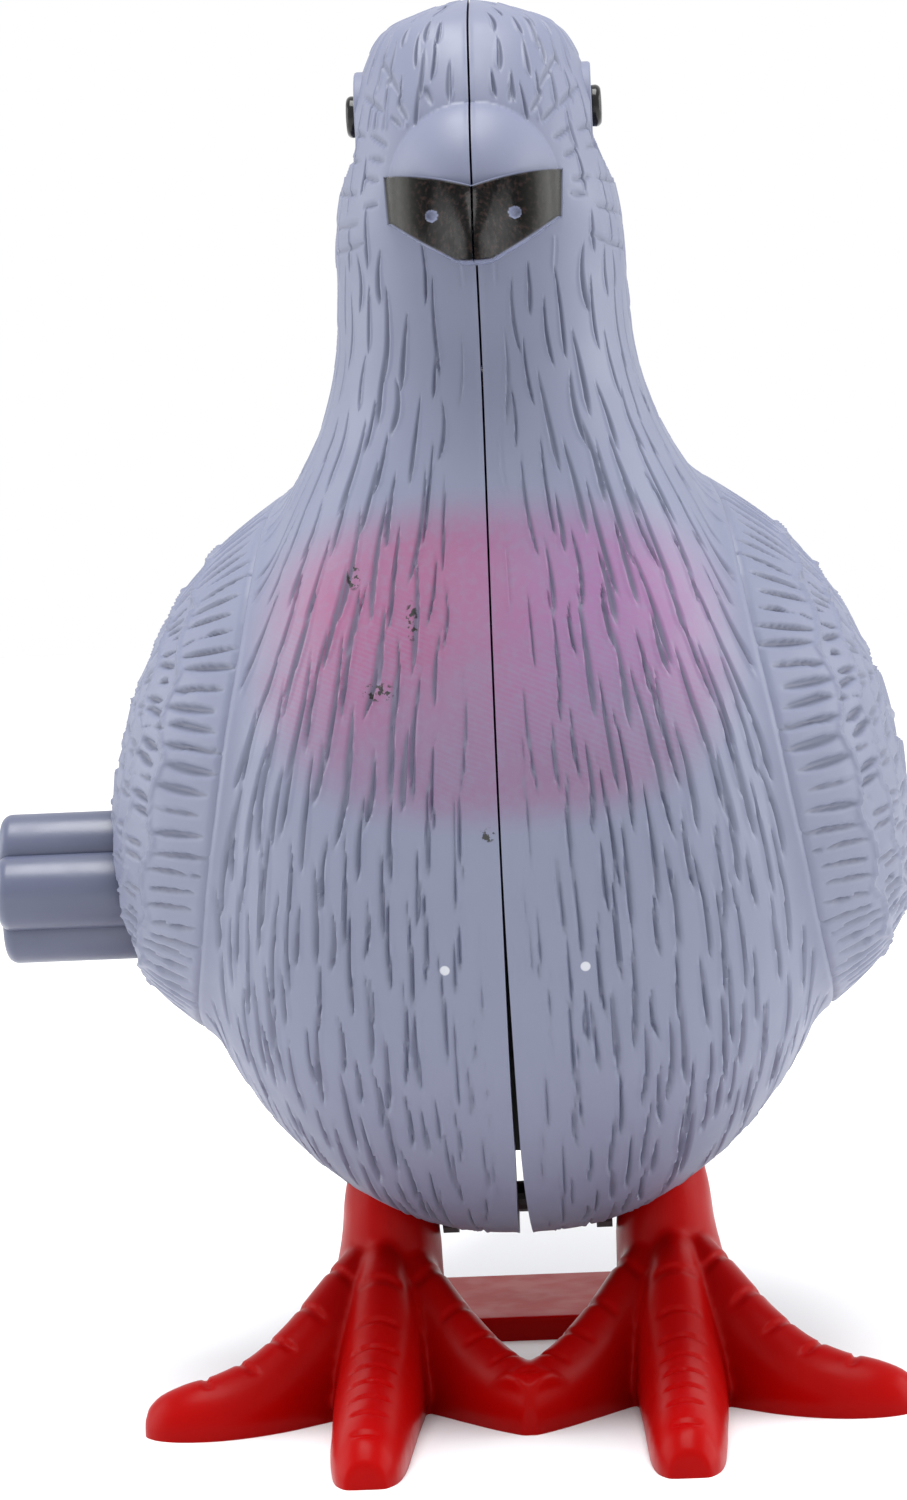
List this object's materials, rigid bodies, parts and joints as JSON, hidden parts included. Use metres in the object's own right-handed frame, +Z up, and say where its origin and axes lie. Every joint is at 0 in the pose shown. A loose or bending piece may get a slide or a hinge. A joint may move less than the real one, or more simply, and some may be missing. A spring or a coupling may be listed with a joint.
{
  "type": "wind-up hopping pigeon",
  "caption": "Wind-up pigeon toy: two hollow plastic body shells around a clockwork motor, a lobed winding knob on its right side, and one-piece red feet that rock to make it hop.",
  "frame": {"origin": "on the flat sole where the two inner front toes meet, on the plane that parts the two body shells", "axes": "the bird looks along -Y and its tail points along +Y, +X is its left side, +Z is up; the winding knob is on the -X side"},
  "size_m": [0.0572, 0.0957, 0.0872],
  "materials": {
    "slate_shell": "satin slate blue-grey moulded plastic with a pink airbrushed breast and a painted dark beak",
    "eye_bead": "glossy black",
    "steel": "plain bright steel",
    "motor_case": "black moulded plastic",
    "knob_plastic": "satin dark slate blue moulded plastic",
    "gear_plastic": "natural white moulded plastic",
    "spring_steel": "blued spring steel",
    "foot_plastic": "glossy red moulded plastic"
  },
  "bodies": {
    "root": {"body_shell_right": "slate_shell", "body_shell_left": "slate_shell", "eye_right": "eye_bead", "eye_left": "eye_bead", "shell_screw_1": "steel", "shell_screw_2": "steel", "shell_screw_3": "steel", "motor_tray": "motor_case", "motor_cover": "motor_case", "motor_screw_1": "steel", "motor_screw_2": "steel", "motor_screw_3": "steel", "motor_screw_4": "steel", "foot_axle": "motor_case"},
    "winding": {"winding_knob": "knob_plastic", "winding_shaft": "steel", "great_gear": "gear_plastic", "mainspring": "spring_steel"},
    "second": {"second_gear": "gear_plastic", "second_arbor": "steel"},
    "crank": {"crank_gear": "gear_plastic", "crank_arbor": "steel", "crank_disc_right": "motor_case", "crank_disc_left": "motor_case"},
    "governor": {"governor_pinion": "gear_plastic", "governor_flywheel": "steel", "governor_arbor": "steel"},
    "feet": {"foot_frame": "foot_plastic"}
  },
  "joints": [
    {"name": "winding_turn", "type": "hinge", "parent": "root", "child": "winding", "pos_m": [0, 0.012, 0.033], "axis": [1, 0, 0], "continuous": true, "deforming": ["mainspring"]},
    {"name": "second_turn", "type": "hinge", "parent": "root", "child": "second", "pos_m": [0, 0.0192, 0.0293], "axis": [1, 0, 0], "continuous": true},
    {"name": "crank_turn", "type": "hinge", "parent": "root", "child": "crank", "pos_m": [0, 0.0204, 0.0217], "axis": [1, 0, 0], "continuous": true},
    {"name": "governor_turn", "type": "hinge", "parent": "root", "child": "governor", "pos_m": [0, 0.0159, 0.01975], "axis": [1, 0, 0], "continuous": true},
    {"name": "feet_rock", "type": "hinge", "parent": "root", "child": "feet", "pos_m": [0, 0.013, 0.0118], "axis": [1, 0, 0], "range_deg": [-4.6, 4.6]}
  ],
  "couplings": [
    {"joint": "second_turn", "follows": "winding_turn", "ratio": -3},
    {"joint": "crank_turn", "follows": "winding_turn", "ratio": 8.4},
    {"joint": "governor_turn", "follows": "winding_turn", "ratio": -16.8}
  ]
}
